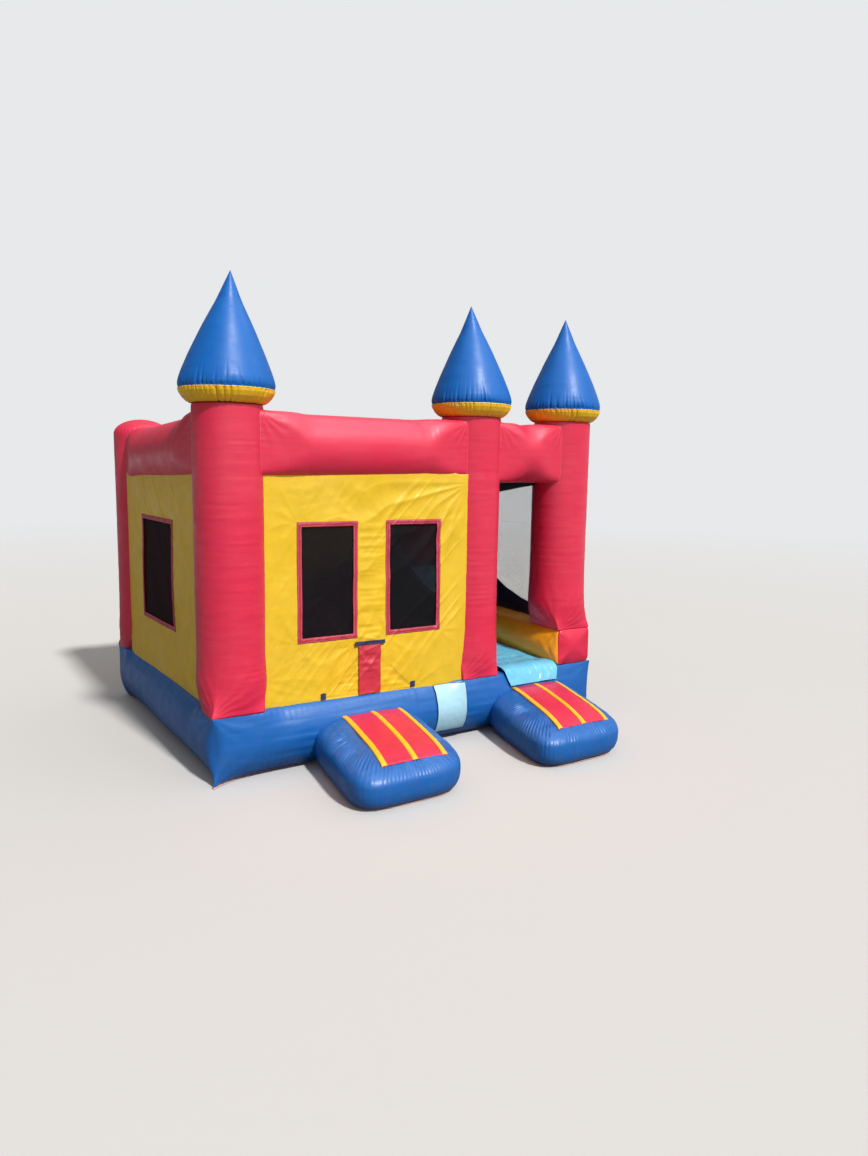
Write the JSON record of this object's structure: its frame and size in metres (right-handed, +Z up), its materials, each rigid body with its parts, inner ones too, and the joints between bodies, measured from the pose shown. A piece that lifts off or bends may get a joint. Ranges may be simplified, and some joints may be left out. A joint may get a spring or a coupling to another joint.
{
  "type": "inflatable bounce house",
  "caption": "Inflatable castle bounce house with round columns, pointed spires, mesh windows, a slit entry, an indoor slide, step cushions and a blower.",
  "frame": {"origin": "middle of the floor mattress's underside, on the ground", "axes": "+Z up; the entry and the slide exit face -Y; the slide lane is on the +X side"},
  "size_m": [4.832, 6.06, 4.58],
  "materials": {
    "red_vinyl": "soft gloss PVC-coated fabric",
    "blue_vinyl": "soft gloss PVC-coated fabric",
    "navy_vinyl": "soft gloss PVC-coated fabric",
    "yellow_vinyl": "soft gloss PVC-coated fabric",
    "sky_vinyl": "glossy slick slide vinyl",
    "black_net": "open knitted netting",
    "blue_webbing": "woven nylon webbing",
    "crimson_webbing": "sewn vinyl binding",
    "zip_nylon": "woven zip tape",
    "blower_plastic": "moulded polyethylene",
    "dark_plastic": "moulded, satin",
    "steel": "zinc plated"
  },
  "bodies": {
    "house": {"anchor_loop_back_left": "blue_webbing", "anchor_loop_back_right": "blue_webbing", "beam_back": "red_vinyl", "beam_front": "red_vinyl", "beam_left": "red_vinyl", "beam_right": "red_vinyl", "beam_slide_exit": "red_vinyl", "blower_grille": "dark_plastic", "blower_housing": "blower_plastic", "blower_motor": "steel", "climb_stairs": "red_vinyl", "collar_front_left": "yellow_vinyl", "collar_front_right": "yellow_vinyl", "collar_middle": "yellow_vinyl", "column_back_left": "red_vinyl", "column_back_right": "red_vinyl", "column_front_left": "red_vinyl", "column_front_right": "red_vinyl", "column_middle": "red_vinyl", "corner_block": "red_vinyl", "entry_step": "blue_vinyl", "entry_step_tread": "red_vinyl", "entry_strap": "blue_webbing", "entry_tab_left": "blue_webbing", "entry_tab_right": "blue_webbing", "exit_step": "blue_vinyl", "exit_step_tread": "red_vinyl", "floor_mattress": "blue_vinyl", "inflation_tube": "blue_vinyl", "net_back_window": "black_net", "net_front_window_left": "black_net", "net_front_window_right": "black_net", "net_left_window": "black_net", "net_right": "black_net", "roof_net": "black_net", "slide_bed": "blue_vinyl", "slide_bolster": "yellow_vinyl", "slide_divider": "navy_vinyl", "slide_liner": "sky_vinyl", "spire_front_left": "blue_vinyl", "spire_front_right": "blue_vinyl", "spire_middle": "blue_vinyl", "trim_back_window": "crimson_webbing", "trim_front_window_left": "crimson_webbing", "trim_front_window_right": "crimson_webbing", "trim_left_window": "crimson_webbing", "tube_strap": "blue_webbing", "wall_back": "yellow_vinyl", "wall_front": "yellow_vinyl", "wall_left": "yellow_vinyl", "wall_right": "navy_vinyl", "zip_tape": "zip_nylon"},
    "entry_flap_left": {"entry_flap_left": "yellow_vinyl"},
    "entry_flap_right": {"entry_flap_right": "yellow_vinyl"},
    "entry_cover": {"entry_cover": "red_vinyl"},
    "blower_impeller": {"blower_impeller": "dark_plastic"},
    "blower_switch": {"blower_switch": "dark_plastic"},
    "zip_slider": {"zip_slider": "steel"},
    "anchor_ring_back_left": {"anchor_ring_back_left": "steel"},
    "anchor_ring_back_right": {"anchor_ring_back_right": "steel"}
  },
  "joints": [
    {"name": "entry_flap_left_swing", "type": "hinge", "parent": "house", "child": "entry_flap_left", "pos_m": [-1.138, -1.729, 0.6455], "axis": [0.7164, 0, 0.6977], "range_deg": [0, 75]},
    {"name": "entry_flap_right_swing", "type": "hinge", "parent": "house", "child": "entry_flap_right", "pos_m": [-0.174, -1.729, 0.6455], "axis": [0.7164, 0, -0.6977], "range_deg": [0, 75]},
    {"name": "entry_cover_lift", "type": "hinge", "parent": "house", "child": "entry_cover", "pos_m": [-0.656, -1.737, 1.138], "axis": [-1, 0, 0], "range_deg": [0, 105]},
    {"name": "impeller_spin", "type": "hinge", "parent": "house", "child": "blower_impeller", "pos_m": [0.9, 2.779, 0.27], "axis": [1, 0, 0], "continuous": true},
    {"name": "switch_rock", "type": "hinge", "parent": "house", "child": "blower_switch", "pos_m": [0.751, 2.899, 0.27], "axis": [0, 1, 0], "range_deg": [-14, 0]},
    {"name": "zip_slide", "type": "slide", "parent": "house", "child": "zip_slider", "axis": [1, 0, 0], "range_m": [0, 0.84]},
    {"name": "ring_left_swing", "type": "hinge", "parent": "house", "child": "anchor_ring_back_left", "pos_m": [-1.986, 1.845, 0.2], "axis": [1, 0, 0], "range_deg": [0, 110]},
    {"name": "ring_right_swing", "type": "hinge", "parent": "house", "child": "anchor_ring_back_right", "pos_m": [1.986, 1.845, 0.2], "axis": [1, 0, 0], "range_deg": [0, 110]}
  ]
}
